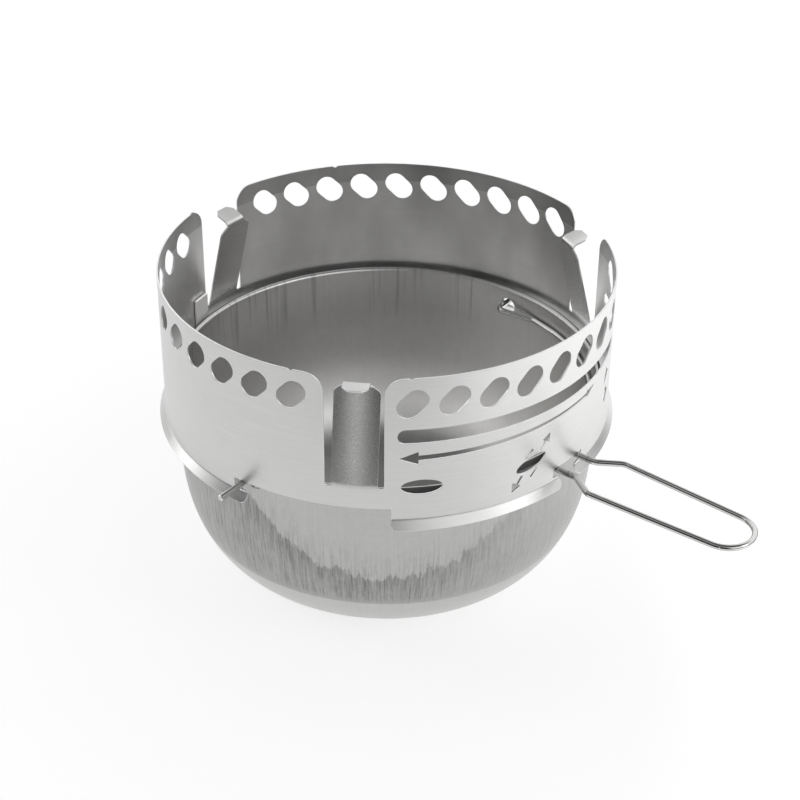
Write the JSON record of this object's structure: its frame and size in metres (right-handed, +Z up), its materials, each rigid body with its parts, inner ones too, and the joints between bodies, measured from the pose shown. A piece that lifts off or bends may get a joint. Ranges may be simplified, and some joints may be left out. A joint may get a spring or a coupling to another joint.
{
  "type": "camping stove",
  "caption": "Round camping stove: deep fire bowl with a rolled rim, a slotted windscreen with pot supports, and a spring-wire handle that locks the screen onto the bowl.",
  "frame": {"origin": "centre of the bowl's flat bottom", "axes": "+Z up along the bowl's axis; the handle points 38.6 degrees clockwise from +X, seen from above"},
  "size_m": [0.27, 0.2404, 0.1585],
  "materials": {
    "satin_stainless": "satin, fine grain around the ring",
    "drawn_stainless": "matt drawn steel with faint vertical streaks",
    "polished_wire": "polished wire"
  },
  "bodies": {
    "bowl": {"bowl": "drawn_stainless"},
    "windscreen": {"windscreen_panel_right": "satin_stainless", "windscreen_panel_back": "satin_stainless", "windscreen_panel_left": "satin_stainless", "pot_support_front": "satin_stainless", "pot_support_left": "satin_stainless", "pot_support_right": "satin_stainless", "seam_plate": "satin_stainless"},
    "handle_arm_left": {"handle_arm_left": "polished_wire"},
    "handle_arm_right": {"handle_arm_right": "polished_wire"},
    "handle_loop_left": {"handle_loop_left": "polished_wire"},
    "handle_loop_right": {"handle_loop_right": "polished_wire"}
  },
  "joints": [
    {"name": "windscreen_lift", "type": "slide", "parent": "bowl", "child": "windscreen", "axis": [0, 0, 1], "range_m": [0, 0.084]},
    {"name": "handle_squeeze", "type": "hinge", "parent": "bowl", "child": "handle_arm_left", "pos_m": [0, 0, 0.0908], "axis": [0, 0, 1], "range_deg": [0, 2.9], "stiffness_Nm_per_rad": 3},
    {"name": "handle_arm_right_turn", "type": "hinge", "parent": "bowl", "child": "handle_arm_right", "pos_m": [0, 0, 0.0908], "axis": [0, 0, 1], "range_deg": [-2.9, 0]},
    {"name": "handle_loop_left_turn", "type": "hinge", "parent": "bowl", "child": "handle_loop_left", "pos_m": [0.1563, -0.12478, 0.0908], "axis": [0, 0, 1], "range_deg": [-3.7, 0]},
    {"name": "handle_loop_right_turn", "type": "hinge", "parent": "bowl", "child": "handle_loop_right", "pos_m": [0.1563, -0.12478, 0.0908], "axis": [0, 0, 1], "range_deg": [0, 3.7]}
  ],
  "couplings": [
    {"joint": "handle_arm_right_turn", "follows": "handle_squeeze", "ratio": -1},
    {"joint": "handle_loop_left_turn", "follows": "handle_squeeze", "ratio": -1.261},
    {"joint": "handle_loop_right_turn", "follows": "handle_squeeze", "ratio": 1.261}
  ]
}
